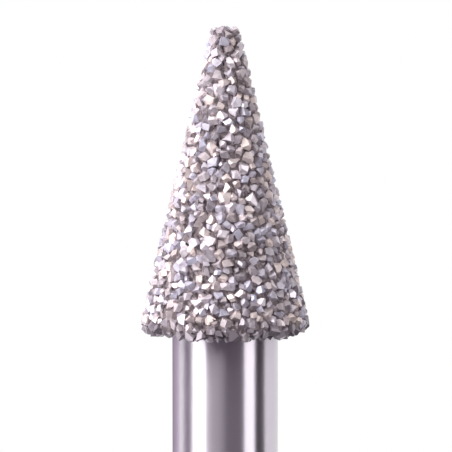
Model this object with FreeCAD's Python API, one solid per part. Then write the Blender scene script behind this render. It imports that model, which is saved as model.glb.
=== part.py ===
import FreeCAD, Part
import math
import os
import random

# A dental bur for a straight handpiece. A ground steel blank carries a conical head that is plated with
# coarse diamond grit. Sizes are in millimetres. The origin is the centre of the shank's flat end, and +Z
# runs up the shank to the tip of the cone.

# Shank
overall_length = 44.5
shank_diameter = 2.35
end_chamfer = 0.20

# Head, measured over the tallest crystals
head_length = 6.84
head_diameter = 3.76
tip_diameter = 0.66
rim_height = 0.34
rim_rounding = 0.20

# Fillet of the steel where the shank meets the underside of the core
core_fillet = 0.05

# Plated layer
bond_thickness = 0.10
crystal_stand = 0.12
crystal_pitch = 0.275

# How much the crystals differ, as shares of the spacing, the stand or the footprint, and in degrees
site_jitter = 0.22
shortest_crystal = 0.55
top_share = (0.30, 0.78)
steepest_top = 38
deepest_top_drop = 0.70
top_corner_choice = (3, 3, 4, 4, 5)
grit_seed = 20

# A row near the tip still has this many crystals
fewest_in_a_row = 5

# The least rounding that the rim keeps deep inside the layer
least_rounding = 0.02

FULL_TURN = 2 * math.pi
AXIS = FreeCAD.Vector(0, 0, 1)
ORIGIN = FreeCAD.Vector(0, 0, 0)


def in_section(radius, height):
    """A point of the half section, which is drawn in the XZ plane."""
    return FreeCAD.Vector(radius, 0, height)


def joined(points):
    """Straight edges through the points, in order."""
    return [Part.LineSegment(a, b).toShape() for a, b in zip(points, points[1:])]


def head_section(depth, start_radius):
    """Edges of the head's half section, that depth under the tallest crystals.

    They run from the start radius out along the underside, round the rim, up the cone and in to the axis.
    """
    lean = math.atan2((head_diameter - tip_diameter) / 2, head_length - rim_height)
    underside = overall_length - head_length + depth
    rim_radius = head_diameter / 2 - depth
    shoulder = overall_length - head_length + rim_height - depth * math.tan(lean / 2)
    tip_radius = tip_diameter / 2 + depth * math.tan(lean) - depth / math.cos(lean)
    tip_height = overall_length - depth
    rounding = max(rim_rounding - depth, least_rounding)
    centre = in_section(rim_radius - rounding, underside + rounding)
    diagonal = rounding * math.sqrt(0.5)
    arc = Part.Arc(
        in_section(centre.x, underside),
        in_section(centre.x + diagonal, centre.z - diagonal),
        in_section(rim_radius, centre.z),
    )
    below = joined([in_section(start_radius, underside), in_section(centre.x, underside)])
    above = joined([
        in_section(rim_radius, centre.z),
        in_section(rim_radius, shoulder),
        in_section(tip_radius, tip_height),
        in_section(0, tip_height),
    ])
    return below + [arc.toShape()] + above


def turned(edges):
    """The solid that a closed half section sweeps round the axis."""
    return Part.Face(Part.Wire(edges)).revolve(ORIGIN, AXIS, 360)


def steel_blank():
    """Shank and conical core, ground from one bar."""
    shank_radius = shank_diameter / 2
    core = head_section(crystal_stand + bond_thickness, shank_radius + core_fillet)
    core_start = core[0].Vertexes[0].Point
    core_end = core[-1].Vertexes[-1].Point
    shank_end = core_start.z - core_fillet
    bulge = core_fillet * (1 - math.sqrt(0.5))
    fillet = Part.Arc(
        in_section(shank_radius, shank_end),
        in_section(shank_radius + bulge, core_start.z - bulge),
        core_start,
    )
    shank = joined([
        ORIGIN,
        in_section(shank_radius - end_chamfer, 0),
        in_section(shank_radius, end_chamfer),
        in_section(shank_radius, shank_end),
    ])
    return turned(shank + [fillet.toShape()] + core + joined([core_end, ORIGIN]))


class BondSurface:
    """The face of the nickel bond, measured by reach along its section and by angle round the axis."""

    def __init__(self):
        self.edges = head_section(crystal_stand, shank_diameter / 2)
        self.length = sum(edge.Length for edge in self.edges)

    def section_at(self, reach):
        """Point and outward normal of the half section, that far along it."""
        left = min(max(reach, 0), self.length)
        for edge in self.edges:
            if left <= edge.Length or edge is self.edges[-1]:
                break
            left -= edge.Length
        parameter = edge.getParameterByLength(min(left, edge.Length))
        along = edge.tangentAt(parameter)
        return edge.valueAt(parameter), FreeCAD.Vector(along.z, 0, -along.x)

    def radius_at(self, reach):
        return self.section_at(reach)[0].x

    def at(self, reach, angle):
        """Point and outward normal in space."""
        point, normal = self.section_at(reach)
        turn = FreeCAD.Rotation(AXIS, math.degrees(angle))
        return turn.multVec(point), turn.multVec(normal)


class Site:
    """The place of one crystal on the bond, with the low points that surround it."""

    def __init__(self, reach, angle):
        self.reach = reach
        self.angle = angle
        self.valleys = []


def angle_from(start, angle):
    """How far the angle lies from the start, between minus and plus half a turn."""
    return (angle - start + math.pi) % FULL_TURN - math.pi


def site_rows(surface, chance):
    """Rows of sites up the bond, evenly spaced and then shifted a little each. The first row only
    marks the bare bond beside the shank, and the last is the one crystal on the tip."""
    row_count = round(surface.length / (crystal_pitch * math.sqrt(0.75)))
    spacing = surface.length / row_count
    rows = []
    for row in range(row_count):
        around = FULL_TURN * surface.radius_at(row * spacing)
        site_count = round(max(fewest_in_a_row, around / crystal_pitch))
        step = FULL_TURN / site_count
        first = chance.uniform(0, step)
        sites = []
        for place in range(site_count):
            reach = row * spacing
            angle = first + place * step
            if row > 0:
                reach += spacing * chance.uniform(-site_jitter, site_jitter)
                angle += step * chance.uniform(-site_jitter, site_jitter)
            sites.append(Site(reach, angle))
        rows.append(sites)
    rows.append([Site(surface.length, 0)])
    return rows


def band_triangles(lower, upper):
    """Triangles of sites that fill the band between two rows, in order round the axis."""
    start = min(range(len(upper)), key=lambda i: abs(angle_from(lower[0].angle, upper[i].angle)))
    upper = upper[start:] + upper[:start]
    lower_angles = [angle_from(lower[0].angle, site.angle) % FULL_TURN for site in lower] + [FULL_TURN]
    offset = angle_from(lower[0].angle, upper[0].angle)
    upper_angles = [
        offset + angle_from(upper[0].angle, site.angle) % FULL_TURN for site in upper
    ] + [offset + FULL_TURN]
    upper_moves = len(upper) if len(upper) > 1 else 0
    i = j = 0
    triangles = []
    while i < len(lower) or j < upper_moves:
        low, high = lower[i % len(lower)], upper[j % len(upper)]
        move_up = j < upper_moves and (i == len(lower) or upper_angles[j + 1] < lower_angles[i + 1])
        if move_up:
            j += 1
            triangles.append((low, high, upper[j % len(upper)]))
        else:
            i += 1
            triangles.append((low, high, lower[i % len(lower)]))
    return triangles


def mark_valleys(surface, rows):
    """Puts a low point of the bond in the middle of each triangle of sites, for the crystals round it.
    The result is the low points that border the bare bond."""
    border = []
    for lower, upper in zip(rows, rows[1:]):
        for triangle in band_triangles(lower, upper):
            placed = [site for site in triangle if site.reach < surface.length]
            first = placed[0].angle
            angle = first + sum(angle_from(first, site.angle) for site in placed) / len(placed)
            reach = sum(site.reach for site in triangle) / len(triangle)
            valley = (reach, angle, surface.at(reach, angle)[0])
            for site in triangle:
                site.valleys.append(valley)
            if lower is rows[0]:
                border.append(valley[2])
    return border


def footprint(surface, site):
    """The low points round a site, in order."""
    if site.reach >= surface.length:
        ordered = sorted(site.valleys, key=lambda valley: valley[1] % FULL_TURN)
    else:
        radius = surface.radius_at(site.reach)
        ordered = sorted(site.valleys, key=lambda valley: math.atan2(
            valley[0] - site.reach,
            radius * angle_from(site.angle, valley[1]),
        ))
    return [point for reach, angle, point in ordered]


def crystal_facets(surface, site, chance):
    """The flat faces of one crystal: a tilted top, and sides down to its footprint."""
    base = footprint(surface, site)
    centre, normal = surface.at(site.reach, site.angle)
    across = FreeCAD.Vector(-math.sin(site.angle), math.cos(site.angle), 0)
    along = normal.cross(across)
    corner_count = min(chance.choice(top_corner_choice), len(base))
    shift = chance.randrange(len(base))
    picks = [round(k * len(base) / corner_count) + shift for k in range(corner_count)]
    plan = []
    for pick in picks:
        spoke = (base[pick % len(base)] - centre) * chance.uniform(*top_share)
        plan.append((spoke.dot(across), spoke.dot(along)))
    heading = chance.uniform(0, FULL_TURN)
    slope = math.tan(math.radians(steepest_top * chance.random()))
    stand = crystal_stand * chance.uniform(shortest_crystal, 1)
    if site.reach >= surface.length:
        stand = crystal_stand
    rises = [slope * (x * math.cos(heading) + y * math.sin(heading)) for x, y in plan]
    fall = max(rises) - min(rises)
    easing = min(1, deepest_top_drop * stand / fall) if fall > 0 else 1
    top = []
    for (x, y), rise in zip(plan, rises):
        height = stand - easing * (max(rises) - rise)
        top.append(centre + across * x + along * y + normal * height)
    facets = [top]
    for k, pick in enumerate(picks):
        next_pick = picks[k + 1] if k + 1 < corner_count else picks[0] + len(base)
        here, beyond = top[k], top[(k + 1) % corner_count]
        for step in range(pick, next_pick):
            facets.append([here, base[step % len(base)], base[(step + 1) % len(base)]])
        facets.append([here, base[next_pick % len(base)], beyond])
    return facets


def flat_face(points):
    return Part.Face(Part.makePolygon(points + points[:1]))


def diamond_coating(blank):
    """Crystals and nickel bond, one plated layer that fits the blank all over."""
    chance = random.Random(grit_seed)
    surface = BondSurface()
    rows = site_rows(surface, chance)
    border = mark_valleys(surface, rows)
    faces = [flat_face(border)]
    for row in rows[1:]:
        for site in row:
            faces += [flat_face(facet) for facet in crystal_facets(surface, site, chance)]
    skin = Part.Compound(faces)
    skin.sewShape()
    print("crystals", sum(len(row) for row in rows[1:]), "facets", len(faces))
    return Part.makeSolid(skin.Shells[0]).cut(blank)


def save(name, shape):
    solids = shape.Solids
    print(name, "solids", len(solids), "valid", shape.isValid(), "volume", round(shape.Volume, 3))
    shape.exportStep(os.path.join("parts", name + ".step"))


os.makedirs("parts", exist_ok=True)
blank = steel_blank()
save("steel_blank", blank)
save("diamond_coating", diamond_coating(blank))
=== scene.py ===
# %% [markdown]
# A dental bur: a straight polished steel shank with a cone at its end, and on the cone a plated layer of
# coarse diamond grit. The metal blank keeps the shape that the construction model gives it and only needs
# a good steel. The grit is the interesting part. It is made here as a nickel skin with many small crystals
# standing in it, because a bump pattern on a smooth cone would show no crystals along the outline.

# %% Load the construction model as a fixed frame
import math
import random
from collections import namedtuple

import bmesh
import bpy
from mathutils import Matrix, Vector, noise
from mathutils.kdtree import KDTree


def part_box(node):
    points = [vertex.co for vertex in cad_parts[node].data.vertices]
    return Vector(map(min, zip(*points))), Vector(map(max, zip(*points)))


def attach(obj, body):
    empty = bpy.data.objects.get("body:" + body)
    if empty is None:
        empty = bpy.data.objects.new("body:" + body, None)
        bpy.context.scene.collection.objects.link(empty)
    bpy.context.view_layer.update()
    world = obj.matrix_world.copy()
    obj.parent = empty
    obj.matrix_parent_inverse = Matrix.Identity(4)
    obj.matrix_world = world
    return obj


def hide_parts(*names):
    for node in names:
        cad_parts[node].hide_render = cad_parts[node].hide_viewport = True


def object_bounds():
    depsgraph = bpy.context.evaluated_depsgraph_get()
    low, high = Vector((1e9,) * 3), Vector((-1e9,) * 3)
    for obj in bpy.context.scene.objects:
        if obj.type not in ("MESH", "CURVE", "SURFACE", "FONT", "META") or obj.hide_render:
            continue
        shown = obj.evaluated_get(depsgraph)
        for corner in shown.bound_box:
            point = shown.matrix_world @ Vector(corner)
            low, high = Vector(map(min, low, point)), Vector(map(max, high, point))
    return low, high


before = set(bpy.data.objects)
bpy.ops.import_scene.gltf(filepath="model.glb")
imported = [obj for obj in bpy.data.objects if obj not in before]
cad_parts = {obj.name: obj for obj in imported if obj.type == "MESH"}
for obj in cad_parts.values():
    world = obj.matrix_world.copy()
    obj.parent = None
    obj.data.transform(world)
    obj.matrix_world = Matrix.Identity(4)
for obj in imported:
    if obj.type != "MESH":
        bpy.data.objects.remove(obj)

cad_lowest, cad_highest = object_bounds()
print("nodes", sorted(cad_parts), "height", round(cad_highest.z * 1000, 2), "mm")

# %% [markdown]
# All sizes below are in metres. The bur's length and the box of its coating are read from the frame, so
# this file follows the construction model when they change. A box can't tell what the section of the head
# looks like, because only the tallest crystals reach it. So the sizes of that section, the shank's width
# and the thickness of the bond are written down again.

# %% Sizes of the head
MM = 0.001
coat_lowest, coat_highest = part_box("diamond_coating")
TOP = cad_highest.z
SHANK_RADIUS = 2.35 * MM / 2
HEAD_LENGTH = 6.84 * MM
HEAD_RADIUS = 3.76 * MM / 2
TIP_RADIUS = 0.66 * MM / 2
RIM_HEIGHT = 0.34 * MM
RIM_ROUNDING = 0.20 * MM
GRIT_STAND = 0.12 * MM
BOND_THICKNESS = 0.10 * MM
UNDERSIDE = TOP - HEAD_LENGTH

print("grit box", [round(v / MM, 3) for v in (*coat_lowest, *coat_highest)], "underside", UNDERSIDE / MM)

# %% [markdown]
# Every material is a small graph of nodes. Written out one node at a time, even a simple mix takes a page.
# So a socket is wrapped in a class whose operators add the Math node that they stand for. Numbers alone
# stay plain Python. Colours and directions go through nodes of their own, because a Math node would
# turn a colour grey.

# %% A socket that works in sums and products
def math_node(graph, operation, *values):
    return graph.node("ShaderNodeMath", {"operation": operation}, dict(enumerate(values)))[0]


class Wire:
    """An output socket that can be added, multiplied and divided like a number."""

    def __init__(self, graph, socket):
        self.graph = graph
        self.socket = socket

    def __add__(self, other):
        return math_node(self.graph, "ADD", self, other)

    __radd__ = __add__

    def __sub__(self, other):
        return math_node(self.graph, "SUBTRACT", self, other)

    def __rsub__(self, other):
        return math_node(self.graph, "SUBTRACT", other, self)

    def __mul__(self, other):
        return math_node(self.graph, "MULTIPLY", self, other)

    __rmul__ = __mul__

    def __truediv__(self, other):
        return math_node(self.graph, "DIVIDE", self, other)

    def __rtruediv__(self, other):
        return math_node(self.graph, "DIVIDE", other, self)

    def clipped(self):
        return math_node(self.graph, "MINIMUM", math_node(self.graph, "MAXIMUM", self, 0.0), 1.0)


print("sockets work like numbers")

# %% A graph that adds its nodes
# Places of some sockets among the others of their nodes
WORLD_DIRECTION, OBJECT_PLACE = 0, 3
CAMERA_RAY, GLOSSY_RAY, TRANSMISSION_RAY = 0, 3, 6
MIX_SHARE, MIX_FIRST, MIX_SECOND = 0, 6, 7
MIXED_COLOUR = 2
ATTRIBUTE_VALUE = 2
VECTOR_LENGTH = 1
X_PART, Z_PART = 0, 2


class Graph:
    """The nodes of one material or of the world."""

    def __init__(self, owner):
        owner.use_nodes = True
        self.tree = owner.node_tree
        self.tree.nodes.clear()

    def node(self, kind, settings=None, values=None):
        """Adds a node with its settings first and then its sockets, and gives its outputs in order."""
        made = self.tree.nodes.new(kind)
        for name, value in (settings or {}).items():
            if name == "stops":
                while len(made.color_ramp.elements) < len(value):
                    made.color_ramp.elements.new(0.5)
                for element, (position, colour) in zip(made.color_ramp.elements, value):
                    element.position = position
                    element.color = (*colour, 1)
            else:
                setattr(made, name, value)
        for name, value in (values or {}).items():
            socket = made.inputs[name]
            if isinstance(value, Wire):
                self.tree.links.new(value.socket, socket)
            else:
                socket.default_value = value
        return [Wire(self, socket) for socket in made.outputs]

    def attribute(self, name):
        """A value that the mesh carries at its points."""
        return self.node("ShaderNodeAttribute", {"attribute_name": name})[ATTRIBUTE_VALUE]

    def part(self, axis, vector):
        """The vector's part along that axis."""
        return self.node("ShaderNodeSeparateXYZ", None, {0: vector})[axis]

    def position(self):
        """The place on the object, measured from the object's own origin."""
        return self.node("ShaderNodeTexCoord")[OBJECT_PLACE]

    def speckle(self, per_metre, detail):
        """Soft noise from 0 to 1 over the object."""
        values = {"Vector": self.position(), "Scale": per_metre, "Detail": detail}
        return self.node("ShaderNodeTexNoise", None, values)[0]

    def blend(self, share, first, second):
        """A colour that goes from the first to the second."""
        values = {MIX_SHARE: share, MIX_FIRST: first, MIX_SECOND: second}
        return self.node("ShaderNodeMix", {"data_type": "RGBA"}, values)[MIXED_COLOUR]

    def bump(self, height, distance, strength):
        values = {"Height": height, "Distance": distance, "Strength": strength}
        return self.node("ShaderNodeBump", None, values)[0]

    def mixed(self, share, first, second):
        """A shader that goes from the first to the second."""
        return self.node("ShaderNodeMixShader", None, {0: share, 1: first, 2: second})[0]

    def glow(self, colour):
        return self.node("ShaderNodeEmission", None, {"Color": colour, "Strength": 1.0})[0]

    def principled(self, values):
        return self.node("ShaderNodeBsdfPrincipled", None, values)[0]


def material_with(name, shader):
    """A new material that shows what the given function makes in its graph."""
    material = bpy.data.materials.new(name)
    graph = Graph(material)
    graph.node("ShaderNodeOutputMaterial", None, {"Surface": shader(graph)})
    print("material", name, "has", len(graph.tree.nodes), "nodes")
    return material


def ranged(limits, share):
    """A value that goes from the lower limit to the upper one."""
    low, high = limits
    return low + (high - low) * share


print("node helpers ready")

# %% [markdown]
# A boxed outline for the plated skin comes first, because the crystals stand on it. The skin is a cone
# with a short upright rim, a rounding under the rim and a flat underside that ends at the shank. That is a
# cone primitive with a few edits: the base is extruded down to make the rim, its lower edge is bevelled,
# and the bottom is inset and opened where the shank comes out. Solidify then gives the skin its
# thickness inwards, so that it is a closed shell round the steel core, as a plated layer is.

# %% Helpers for modelling by hand
def deselect():
    bpy.ops.object.select_all(action="DESELECT")


def added(name):
    """The primitive that was just added, renamed."""
    made = bpy.context.object
    made.name = name
    made.data.name = name
    return made


def edit(piece, kind="FACE"):
    """Opens the piece in edit mode with nothing selected."""
    deselect()
    piece.select_set(True)
    bpy.context.view_layer.objects.active = piece
    bpy.ops.object.mode_set(mode="EDIT")
    bpy.ops.mesh.select_mode(type=kind)
    bpy.ops.mesh.select_all(action="DESELECT")
    return bmesh.from_edit_mesh(piece.data)


def close_edit():
    bpy.ops.object.mode_set(mode="OBJECT")


def pick(piece, net, elements, test):
    """Selects the faces, edges or vertices that pass the test, and says how many."""
    chosen = [element for element in elements if test(element)]
    for element in chosen:
        element.select_set(True)
    net.select_flush_mode()
    bmesh.update_edit_mesh(piece.data)
    return len(chosen)


def settle_place(piece):
    """Puts the piece's place, turn and size into its mesh."""
    deselect()
    piece.select_set(True)
    bpy.context.view_layer.objects.active = piece
    bpy.ops.object.transform_apply(location=True, rotation=True, scale=True)


print("modelling helpers ready")

# %% Sizes of the nickel skin
LEAN = math.atan2(HEAD_RADIUS - TIP_RADIUS, HEAD_LENGTH - RIM_HEIGHT)
SKIN_TOP = TOP - GRIT_STAND
SKIN_BOTTOM = UNDERSIDE + GRIT_STAND
SKIN_RADIUS = HEAD_RADIUS - GRIT_STAND
SKIN_TIP = TIP_RADIUS + GRIT_STAND * math.tan(LEAN) - GRIT_STAND / math.cos(LEAN)
SHOULDER = UNDERSIDE + RIM_HEIGHT - GRIT_STAND * math.tan(LEAN / 2)
SKIN_ROUNDING = RIM_ROUNDING - GRIT_STAND

# How finely the skin is divided
SKIN_SIDES = 160
ROUNDING_STEPS = 5
CONE_CUTS = 90
UNDERSIDE_CUTS = 8
TIP_RINGS = 3

# Two places are the same when they are nearer than this
NEAR = 0.001 * MM

# A face is level when the upright part of its normal is longer than this
LEVEL = 0.99


def near(value, target):
    return abs(value - target) < NEAR


def looks_down(face):
    return face.normal.z < -LEVEL


print("skin radius", round(SKIN_RADIUS / MM, 3), "tip", round(SKIN_TIP / MM, 3), "mm")

# %% Nickel skin, still plain
deselect()
bpy.ops.mesh.primitive_cone_add(
    vertices=SKIN_SIDES, radius1=SKIN_RADIUS, radius2=SKIN_TIP,
    depth=SKIN_TOP - SHOULDER, location=(0, 0, (SKIN_TOP + SHOULDER) / 2),
)
skin = added("nickel_skin")
settle_place(skin)

net = edit(skin)
pick(skin, net, net.faces, looks_down)
bpy.ops.mesh.extrude_region_move(TRANSFORM_OT_translate={"value": (0, 0, SKIN_BOTTOM - SHOULDER)})
close_edit()

net = edit(skin, "EDGE")
pick(skin, net, net.edges, lambda edge: all(near(v.co.z, SKIN_BOTTOM) for v in edge.verts))
bpy.ops.mesh.bevel(offset=SKIN_ROUNDING, offset_type="OFFSET", segments=ROUNDING_STEPS, affect="EDGES")
close_edit()

net = edit(skin)
pick(skin, net, net.faces, lambda face: looks_down(face) and len(face.verts) == SKIN_SIDES)
bpy.ops.mesh.inset(thickness=SKIN_RADIUS - SKIN_ROUNDING - SHANK_RADIUS)
bpy.ops.mesh.delete(type="FACE")
close_edit()
print("plain skin", len(skin.data.vertices), "vertices", len(skin.data.polygons), "faces")

# %% [markdown]
# Plated nickel isn't smooth. It creeps up each crystal and leaves a hollow between neighbours. To follow
# that, the skin needs many small faces, but only on the outside: the inner wall lies against the steel
# and stays coarse. So the thickness comes first, and then only the outer edges are subdivided.

# %% Helpers for the small faces
# Edges that cross the underside are longer than this, and those round it are shorter
LEAST_CROSSING = 0.1 * MM


def apply_modifier(piece, kind, **settings):
    modifier = piece.modifiers.new(kind.lower(), kind)
    for name, value in settings.items():
        setattr(modifier, name, value)
    bpy.context.view_layer.objects.active = piece
    bpy.ops.object.modifier_apply(modifier=modifier.name)


def cut_edges(piece, test, cuts):
    net = edit(piece, "EDGE")
    count = pick(piece, net, net.edges, test)
    bpy.ops.mesh.subdivide(number_cuts=cuts)
    close_edit()
    return count


def distance_out(place):
    """Distance from the bur's axis."""
    return math.hypot(place.x, place.y)


def middle(element):
    return sum((v.co for v in element.verts), Vector()) / len(element.verts)


def is_on_top(face):
    return face.normal.z > LEVEL and near(middle(face).z, SKIN_TOP)


def goes_up_the_cone(edge):
    low, high = sorted((v.co for v in edge.verts), key=lambda place: place.z)
    outside = near(distance_out(low), SKIN_RADIUS) and near(distance_out(high), SKIN_TIP)
    return outside and near(low.z, SHOULDER) and near(high.z, SKIN_TOP)


def goes_in_to_the_shank(edge):
    near_one, far_one = sorted((v.co for v in edge.verts), key=distance_out)
    flat = near(near_one.z, SKIN_BOTTOM) and near(far_one.z, SKIN_BOTTOM)
    return flat and distance_out(far_one) - distance_out(near_one) > LEAST_CROSSING


print("edges can be told apart")

# %% Thickness and small faces
apply_modifier(skin, "SOLIDIFY", thickness=BOND_THICKNESS, offset=-1)
net = edit(skin)
tip_faces = pick(skin, net, net.faces, is_on_top)
for ring in range(TIP_RINGS):
    bpy.ops.mesh.inset(thickness=SKIN_TIP / (TIP_RINGS + 1))
bpy.ops.mesh.poke()
close_edit()
print("edges up the cone", cut_edges(skin, goes_up_the_cone, CONE_CUTS))
print("edges under the rim", cut_edges(skin, goes_in_to_the_shank, UNDERSIDE_CUTS))
print("tip faces", tip_faces, "skin faces", len(skin.data.polygons))

# %% [markdown]
# A grain of natural diamond is a blunt octahedron or a lump between a cube and an octahedron, with flat
# chips where it has been crushed. Such a shape is easily cut from a block: a cube is flattened a little
# and then bisected by planes that face any way, and each cut leaves one flat facet. Ten such grains are
# modelled once. The hundreds on the head are copies that are turned and sized differently, so that no
# two look alike.

# %% Ten grains of diamond
GRAIN_SEED = 11
GRAIN_KINDS = 10
GRAIN_CUTS = 8

# In grain radii: the block that a grain is cut from, how far out the cuts lie, and the shortest edge
BLOCK = 1.7
CUT_DISTANCES = (0.55, 0.92)
SHORTEST_EDGE = 0.05

# Shares that the block keeps of its depth and height
BLOCK_DEPTHS = (0.70, 1)
BLOCK_HEIGHTS = (0.60, 0.95)

# Facets that meet at a smaller angle become one
LEAST_ANGLE = math.radians(4)

chance = random.Random(GRAIN_SEED)


def any_direction(chance):
    height = chance.uniform(-1, 1)
    angle = chance.uniform(0, 2 * math.pi)
    across = math.sqrt(1 - height * height)
    return Vector((across * math.cos(angle), across * math.sin(angle), height))


def cut_grain(number, chance):
    """One grain of about unit radius, cut from a block."""
    deselect()
    bpy.ops.mesh.primitive_cube_add(size=BLOCK)
    grain = added("grain_%02d" % number)
    shares = (1, chance.uniform(*BLOCK_DEPTHS), chance.uniform(*BLOCK_HEIGHTS), 1)
    grain.data.transform(Matrix.Diagonal(shares))
    edit(grain)
    for cut in range(GRAIN_CUTS):
        facing = any_direction(chance)
        bpy.ops.mesh.select_all(action="SELECT")
        bpy.ops.mesh.bisect(
            plane_co=facing * chance.uniform(*CUT_DISTANCES), plane_no=facing,
            use_fill=True, clear_outer=True,
        )
    bpy.ops.mesh.select_all(action="SELECT")
    bpy.ops.mesh.remove_doubles(threshold=SHORTEST_EDGE)
    bpy.ops.mesh.dissolve_limited(angle_limit=LEAST_ANGLE)
    bpy.ops.mesh.normals_make_consistent(inside=False)
    close_edit()
    return grain


grains = [cut_grain(number, chance) for number in range(GRAIN_KINDS)]
print("faces of the grains", [len(grain.data.polygons) for grain in grains])

# %% [markdown]
# Now the grains are sown on the skin. Each falls on a random spot and stays if it has room there, first
# the big ones and then smaller ones in the gaps, as grit settles while it is plated. To find neighbours
# fast, the space is divided into cells, each wider than the room that two of the biggest grains need. A
# grain is sunk into the nickel until its highest corner stands out just as far as its stand says.

# %% Room for a grain
CELL = 0.36 * MM

# The middles of two grains are at least this share of their two radii apart
ROOM = 0.66
SIZE_SPREAD = (0.88, 1.12)

# The underside stays bare this far from the shank
BARE_RING = 0.12 * MM
SOWN = (
    # radius, stand as a share of the tallest, tries
    (0.140 * MM, (0.85, 1.00), 3500),
    (0.115 * MM, (0.75, 0.95), 8000),
    (0.085 * MM, (0.50, 0.85), 5000),
)

Site = namedtuple("Site", "place facing size stand")


def cell_of(place):
    return tuple(int(part // CELL) for part in place)


def has_room(taken, place, radius):
    x, y, z = cell_of(place)
    for cell in [(x + i, y + j, z + k) for i in (-1, 0, 1) for j in (-1, 0, 1) for k in (-1, 0, 1)]:
        for other, other_radius in taken.get(cell, ()):
            if (other - place).length < ROOM * (radius + other_radius):
                return False
    return True


print("cells of", CELL / MM, "mm for grains of up to", SOWN[0][0] / MM, "mm radius")

# %% Where the grains stand
def is_outside(face):
    place = face.center
    return distance_out(place) > SHANK_RADIUS + BARE_RING or place.z > SHOULDER


def outer_faces(piece):
    """Faces that grit can fall on, which look away from the steel and aren't beside the shank."""
    found = []
    for face in piece.data.polygons:
        place = face.center
        up_or_down = Vector((0, 0, 1 if place.z > SHOULDER else -1))
        from_core = Vector((place.x, place.y, 0)).normalized() + up_or_down
        if face.normal.dot(from_core) > 0 and is_outside(face) and face.area > 0:
            found.append(face)
    return found


def sow(piece, chance):
    """Sites with room for a grain, found by many tries on the outer faces."""
    faces = outer_faces(piece)
    weights = [face.area for face in faces]
    points = piece.data.vertices
    taken, sites = {}, []
    for radius, stands, tries in SOWN:
        for face in chance.choices(faces, weights, k=tries):
            # A random place on the face, between three of its corners
            corners = [points[index].co for index in face.vertices]
            first = corners[0].lerp(corners[1], chance.random())
            place = first.lerp(corners[2], chance.random())
            size = radius * chance.uniform(*SIZE_SPREAD)
            if has_room(taken, place, size):
                taken.setdefault(cell_of(place), []).append((place, size))
                sites.append(Site(place, face.normal.copy(), size, GRIT_STAND * chance.uniform(*stands)))
    return sites


sites = sow(skin, chance)
print("grains sown", len(sites))

# %% [markdown]
# The nickel climbs a little at each grain and lies lower between them. Sculpting that by hand would take
# days, so each outer point of the skin looks for its nearest grain in a tree of places, and the nearer
# that is, the further the point moves out. Noise adds the small lumps that plated metal has all over.

# %% Nickel that creeps up the grains
CREEP = 0.020 * MM
SINK = 0.040 * MM
LUMPS = 0.012 * MM
LUMP_SIZE = 0.06 * MM

# The nickel falls off between these distances from a grain's middle, in grain radii
COLLAR_START = 0.6
COLLAR_END = 1.5


def raise_skin(piece, sites):
    """Moves the outer points of the skin outwards near each grain, with small lumps all over."""
    tree = KDTree(len(sites))
    for index, site in enumerate(sites):
        tree.insert(site.place, index)
    tree.balance()
    movable = {index for face in outer_faces(piece) for index in face.vertices}
    normals = {index: piece.data.vertices[index].normal.copy() for index in movable}
    for index in movable:
        point = piece.data.vertices[index]
        found, nearest, distance = tree.find(point.co)
        fallen = (distance / sites[nearest].size - COLLAR_START) / (COLLAR_END - COLLAR_START)
        closeness = 1 - min(max(fallen, 0), 1)
        # The rise follows a curve that starts and ends gently
        rise = (CREEP + SINK) * closeness * closeness * (3 - 2 * closeness) - SINK
        rise += LUMPS * noise.noise(point.co / LUMP_SIZE)
        point.co += normals[index] * rise
    return len(movable)


print("skin points raised", raise_skin(skin, sites))

# %% [markdown]
# Each site now gets a copy of one of the ten grains. A copy carries two random values in its mesh, its
# tone and its warmth, which the diamond's material reads, so that neighbours differ in colour as well.
# Grains under the rim keep to the dark end of their tone, as painted shade for the rim's underside,
# where little light falls. The dressed head stays within the box of the construction model, so a corner
# that stands out of it is moved back.

# %% Grains in their places
# Grains lower than this get the painted shade of the rim's underside
UNDER_THE_RIM = SKIN_BOTTOM + 0.17 * MM

# Where tone and warmth end that start at 0. A tone far below 0 leaves only the darkest colour: painted
# shade
SHADED_TONE_END = -0.9
LIGHT_END = 1
WARM_END = 1


def stand_grain(master, site, chance):
    """A copy of a grain, turned at random and sunk so that it stands out as far as its site says."""
    grain = master.copy()
    grain.data = master.data.copy()
    turn = Matrix.Rotation(chance.uniform(0, 2 * math.pi), 4, any_direction(chance))
    shape = turn @ Matrix.Scale(site.size, 4)
    tallest = max((shape @ v.co).dot(site.facing) for v in grain.data.vertices)
    grain.data.transform(Matrix.Translation(site.place + site.facing * (site.stand - tallest)) @ shape)
    # Below the rim the tone goes to its dark end, which is painted shade
    ends = {"tone": SHADED_TONE_END if site.place.z < UNDER_THE_RIM else LIGHT_END, "warmth": WARM_END}
    for name, end in ends.items():
        made = grain.data.attributes.new(name, "FLOAT", "POINT")
        made.data.foreach_set("value", [end * chance.random()] * len(grain.data.vertices))
    bpy.context.scene.collection.objects.link(grain)
    return grain


def joined(pieces, name):
    deselect()
    for piece in pieces:
        piece.select_set(True)
    bpy.context.view_layer.objects.active = pieces[0]
    bpy.ops.object.join()
    return added(name)


crystals = joined([stand_grain(chance.choice(grains), site, chance) for site in sites], "diamond_grains")
for grain in grains:
    bpy.data.objects.remove(grain)
for point in crystals.data.vertices:
    for axis in range(3):
        point.co[axis] = min(max(point.co[axis], coat_lowest[axis]), coat_highest[axis])
print("crystal faces", len(crystals.data.polygons))

for piece in (skin, crystals):
    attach(piece, "root")
    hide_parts("diamond_coating")

# %% [markdown]
# A ground shank has very fine grooves that run round it. They leave its reflections sharp from side to
# side and draw them out up and down, which is what Anisotropic does. With nothing linked to Tangent, the
# renderer uses one that runs round the Z axis, and that is the shank's own axis. A turn by a quarter
# makes the reflections long in the shank's direction. Soft noise changes colour and roughness a little,
# as on metal that has been wiped.

# %% Ground steel
STEEL_DARK = (0.56, 0.515, 0.575, 1)
STEEL_LIGHT = (0.64, 0.595, 0.655, 1)
STEEL_ROUGHNESS = (0.33, 0.37)
QUARTER_TURN = 0.25
WIPES_PER_METRE = 700


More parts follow.
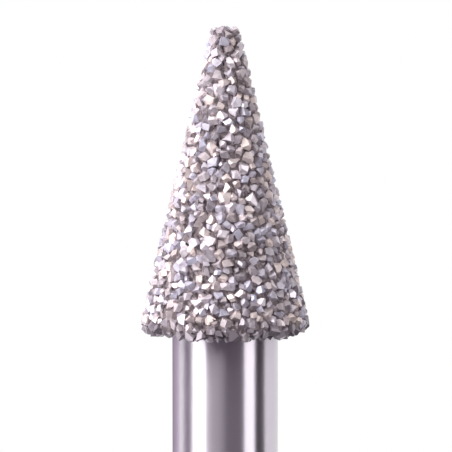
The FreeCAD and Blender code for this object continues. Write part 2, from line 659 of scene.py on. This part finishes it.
def steel_shader(graph):
    wipe = graph.speckle(WIPES_PER_METRE, detail=2)
    return graph.principled({
        "Base Color": graph.blend(wipe, STEEL_DARK, STEEL_LIGHT), "Metallic": 1.0,
        "Roughness": ranged(STEEL_ROUGHNESS, wipe),
        "Anisotropic": 1.0, "Anisotropic Rotation": QUARTER_TURN,
    })


steel = material_with("ground_steel", steel_shader)

# %% [markdown]
# The nickel between the grains is a dull grey metal. It lies in the grains' shade, and that shade is
# painted
# into its colour: dark, darkest in its hollows, and paler only on its lumps. The same noise gives it
# a relief too fine to model.

# %% Plated nickel
# Painted shade: both nickel colours are darkened for the shade between the grains, the hollow one most
NICKEL_SHADED_HOLLOW = (0.085, 0.070, 0.075, 1)
NICKEL_LUMP = (0.28, 0.23, 0.245, 1)
NICKEL_ROUGHNESS = (0.34, 0.54)
LUMPS_PER_METRE = 16000
FINE_LUMPS = 0.012 * MM
FINE_LUMP_STRENGTH = 0.6


def nickel_shader(graph):
    lumps = graph.speckle(LUMPS_PER_METRE, detail=3)
    return graph.principled({
        "Base Color": graph.blend(lumps, NICKEL_SHADED_HOLLOW, NICKEL_LUMP), "Metallic": 0.9,
        "Roughness": ranged(NICKEL_ROUGHNESS, lumps),
        "Normal": graph.bump(lumps, FINE_LUMPS, FINE_LUMP_STRENGTH),
    })


nickel = material_with("plated_nickel", nickel_shader)

# %% [markdown]
# Crushed diamond is pale and full of cracks, and it throws light back from inside. Following the light
# through a thousand clear grains would take long, so a grain is painted as half a metal with a high index
# of refraction, which gives the same hard glints. A grain's tone and some cloudy noise say how dark it is,
# and its warmth says whether its light colour is bluish or reddish.

# %% Diamond
GRAIN_DARK = (0.22, 0.185, 0.215, 1)
GRAIN_COOL = (0.625, 0.615, 0.77, 1)
GRAIN_WARM = (0.87, 0.715, 0.655, 1)
GRAIN_ROUGHNESS = (0.24, 0.48)
CLOUDS_PER_METRE = 9000

# How much tone and clouds count, and how far all grains are darkened
TONE_WEIGHT = 0.65
CLOUD_WEIGHT = 0.9
DARKENING = 0.28


def diamond_shader(graph):
    clouds = graph.speckle(CLOUDS_PER_METRE, detail=2)
    # Under the rim the tone carries painted shade. Elsewhere it differs at random from grain to grain
    share = (TONE_WEIGHT * graph.attribute("tone") + CLOUD_WEIGHT * clouds - DARKENING).clipped()
    light = graph.blend(graph.attribute("warmth"), GRAIN_COOL, GRAIN_WARM)
    return graph.principled({
        "Base Color": graph.blend(share, GRAIN_DARK, light), "Metallic": 0.5,
        "Roughness": ranged(GRAIN_ROUGHNESS, clouds), "IOR": 2.0,
    })


diamond = material_with("diamond", diamond_shader)

# %% [markdown]
# The steel goes on the construction model's own blank, whose shape is already right. The two new pieces
# that stand for the coating take the nickel and the diamond.

# %% Finishes on their pieces
for piece, material in ((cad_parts["steel_blank"], steel), (skin, nickel), (crystals, diamond)):
    piece.data.materials.clear()
    piece.data.materials.append(material)
    print(piece.name, "is", material.name)

# %% [markdown]
# The camera has a long lens, stands twelve head lengths away and looks down by about six degrees, as in
# the photograph. All that stands round the bur is placed by its azimuth: 0 is towards the camera, and it
# grows to the camera's right.

# %% Helpers that place things round the bur
def around(azimuth, distance, height):
    """A place round the bur, at that azimuth in degrees."""
    angle = math.radians(azimuth)
    return Vector((math.sin(angle) * distance, -math.cos(angle) * distance, height))


def turned_to(place, target):
    """The rotation of a lamp, a card or a camera at the place that looks at the target."""
    return (Vector(target) - Vector(place)).to_track_quat("-Z", "Y").to_euler()


def width_seen(distance, degrees):
    """How wide a thing is that fills that many degrees, seen from the bur."""
    return 2 * distance * math.tan(math.radians(degrees / 2))


print("places round the bur ready")

# %% Camera at the photograph's angle
FRAME_WIDTH = 10.02 * MM
AIM_HEIGHT = 40.05 * MM
AIM_SIDE = 0.02 * MM
CAMERA_ELEVATION = 6.3

# Lens and sensor in the camera's own millimetres, and the far end of its view in metres
LENS = 300
SENSOR_WIDTH = 36
VIEW_END = 10

bpy.ops.object.camera_add()
camera = bpy.context.object
camera.name = "camera"
camera.data.lens = LENS
camera.data.sensor_width = SENSOR_WIDTH
camera_distance = FRAME_WIDTH * LENS / SENSOR_WIDTH
aim = Vector((AIM_SIDE, 0, AIM_HEIGHT))
tilt = math.radians(CAMERA_ELEVATION)
camera.location = aim + camera_distance * Vector((0, -math.cos(tilt), math.sin(tilt)))
camera.rotation_euler = turned_to(camera.location, aim)
camera.data.clip_start = MM
camera.data.clip_end = VIEW_END
bpy.context.scene.camera = camera
bpy.context.scene.view_settings.view_transform = "Standard"
print("camera", round(camera_distance / MM, 1), "mm away")

# %% [markdown]
# The background is pure white in the picture, and that white must not come from more light on the bur. So
# the world looks white to the camera and in reflections, where Light Path says which ray is asking. Every
# other ray gets a pale light, which is weaker from below the horizon, so that what faces down is darker.

# %% World
WHITE = (1, 1, 1, 1)
PALE = (0.98, 0.97, 1, 1)
FROM_ABOVE = 0.82
FROM_BELOW = 0.25

# How fast the light weakens below the horizon
HORIZON_STEEPNESS = 3


def background(graph, colour, strength):
    return graph.node("ShaderNodeBackground", None, {"Color": colour, "Strength": strength})[0]


world = bpy.data.worlds.new("studio")
bpy.context.scene.world = world
graph = Graph(world)
rays = graph.node("ShaderNodeLightPath")
sees_white = (rays[CAMERA_RAY] + rays[GLOSSY_RAY] + rays[TRANSMISSION_RAY]).clipped()
direction = graph.node("ShaderNodeTexCoord")[WORLD_DIRECTION]
below = (-HORIZON_STEEPNESS * graph.part(Z_PART, direction)).clipped()
plain = graph.mixed(below, background(graph, PALE, FROM_ABOVE), background(graph, PALE, FROM_BELOW))
surface = graph.mixed(sees_white, plain, background(graph, WHITE, 1.0))
graph.node("ShaderNodeOutputWorld", None, {"Surface": surface})
print("white for", [rays[place].socket.name for place in (CAMERA_RAY, GLOSSY_RAY, TRANSMISSION_RAY)])

# %% [markdown]
# A photographer who takes a picture of polished metal decides first what the metal mirrors. A tall soft
# light on the left and a small one low on the right leave a white band each on the shank. The fill light
# is there for the grit alone, which is brightest on its left side, so it is hidden from reflections, and
# the upper light is there for the top of the cone. Lamps are hidden from the camera, because they belong
# to the studio. Each is told how bright it looks, and its power is worked out from that.

# %% Soft lights
SOFT_DISTANCE = 180 * MM


def soft_light(name, azimuth, height, degrees, tall, brightness):
    """An area lamp that looks as bright as a surface of that brightness, and that many degrees wide."""
    place = around(azimuth, SOFT_DISTANCE, height)
    width = width_seen(SOFT_DISTANCE, degrees)
    bpy.ops.object.light_add(type="AREA", location=place)
    lamp = bpy.context.object
    lamp.name = name
    lamp.rotation_euler = turned_to(place, (0, 0, height))
    lamp.data.shape = "RECTANGLE"
    lamp.data.size = width
    lamp.data.size_y = tall
    lamp.data.energy = brightness * math.pi * width * tall
    lamp.visible_camera = False
    print(name, round(lamp.data.energy, 3), "W")
    return lamp


soft_light("left_soft_light", azimuth=-59, height=150 * MM, degrees=31, tall=420 * MM, brightness=3.6)
fill = soft_light("left_fill", azimuth=-80, height=175 * MM, degrees=60, tall=220 * MM, brightness=10.5)
fill.visible_glossy = False
soft_light("upper_soft_light", azimuth=-25, height=205 * MM, degrees=50, tall=170 * MM, brightness=1.8)
soft_light("right_soft_light", azimuth=54.5, height=20 * MM, degrees=24, tall=60 * MM, brightness=5.0)

# %% [markdown]
# Between the two white bands the shank mirrors a dark card in front of it. Its reflections are drawn out
# up and down, and the head keeps out what would come from above, so the card's top edge, which rises to
# the right, leaves a dark wedge under the head. A black card on the right gives the narrow dark band
# there, and grey ones give the left edge of the shank and its back. The camera looks down a little, so in
# the metal it sees the floor as well, and two cards lie there. Only reflections see the cards, and their
# paint glows, so that it looks the same in any light.

# %% Helpers for cards
CARD_DISTANCE = 75 * MM
CARD_TOP = 240 * MM
ABOVE_FLOOR = 0.02 * MM

# Red, green and blue of the grey with a touch of lilac that the metal shows in its dark parts
LILAC = (1, 0.84, 1.03)


def lilac(grey):
    """The lilac grey of that brightness."""
    return tuple(grey * part for part in LILAC)


def plain_card(name, width, shades):
    """A square card of that width, flat on the floor. Its shades run across it, from left to right."""

    def paint(graph):
        share_across = graph.part(X_PART, graph.position()) / width + 0.5
        return graph.glow(graph.node("ShaderNodeValToRGB", {"stops": shades}, {"Fac": share_across})[0])

    deselect()
    bpy.ops.mesh.primitive_plane_add(size=width)
    made = added(name)
    made.data.materials.append(material_with(name + "_paint", paint))
    made.visible_camera = False
    made.visible_diffuse = False
    made.visible_shadow = False
    return made


def card(name, azimuth, degrees, shades, left_top=CARD_TOP, right_top=CARD_TOP):
    """A card that stands on the floor and faces the bur. Its top edge may slope."""
    made = plain_card(name, width_seen(CARD_DISTANCE, degrees), shades)
    for corner in made.data.vertices:
        top = left_top if corner.co.x < 0 else right_top
        corner.co.y = top if corner.co.y > 0 else 0
    made.location = around(azimuth, CARD_DISTANCE, 0)
    made.rotation_euler = turned_to(made.location, (0, 0, 0))


def lying_card(name, azimuth, width, deep, shade):
    """A card that lies on the floor, between the bur and a standing card."""
    made = plain_card(name, width, [(0.0, shade), (1.0, shade)])
    made.scale.y = deep / width
    made.location = around(azimuth, CARD_DISTANCE - deep / 2, ABOVE_FLOOR)
    made.rotation_euler.z = math.radians(azimuth)


print("cards stand", CARD_DISTANCE / MM, "mm from the bur")

# %% Cards that the metal mirrors
card("front_card", azimuth=0, degrees=82, left_top=36 * MM, right_top=135 * MM, shades=[
    (0.0, lilac(0.47)), (0.30, lilac(0.28)), (0.45, lilac(0.21)), (0.55, lilac(0.19)), (1.0, lilac(0.26)),
])
lying_card("front_lying_card", azimuth=0, width=130 * MM, deep=95 * MM, shade=lilac(0.13))
lying_card("right_lying_card", azimuth=84, width=30 * MM, deep=66 * MM, shade=lilac(0.08))
card("right_black_card", azimuth=83.5, degrees=26, shades=[(0.0, lilac(0.05)), (1.0, lilac(0.10))])
card("left_grey_card", azimuth=-94, degrees=23, shades=[(0.0, lilac(0.45)), (1.0, lilac(0.34))])
card("left_back_card", azimuth=-146, degrees=44, shades=[
    (0.0, lilac(0.34)), (0.4, lilac(0.50)), (0.7, lilac(0.75)), (1.0, lilac(0.78)),
])

# %% [markdown]
# A pale floor catches the soft shadow of the shank's foot. Outwards it turns into the same pure white as
# the world, so that its edge can't be seen. It is hidden from diffuse rays, so that it throws no light
# back up on the grit.

# %% Pale floor
FLOOR_RADIUS = 200 * MM
FLOOR_SIDES = 96
FLOOR_COLOUR = (0.86, 0.86, 0.87, 1)

# Where the floor begins to turn white and where it is all white, as shares of its radius
WHITE_START = 0.34375
WHITE_END = 0.96875


def floor_shader(graph):
    lengths = graph.node("ShaderNodeVectorMath", {"operation": "LENGTH"}, {0: graph.position()})
    share_out = lengths[VECTOR_LENGTH] / FLOOR_RADIUS
    white = ((share_out - WHITE_START) / (WHITE_END - WHITE_START)).clipped()
    pale = graph.node("ShaderNodeBsdfDiffuse", None, {"Color": FLOOR_COLOUR})[0]
    return graph.mixed(white, pale, graph.glow(WHITE))


deselect()
bpy.ops.mesh.primitive_circle_add(vertices=FLOOR_SIDES, radius=FLOOR_RADIUS, fill_type="NGON")
floor = added("floor")
floor.data.materials.append(material_with("pale_floor", floor_shader))
floor.visible_diffuse = False
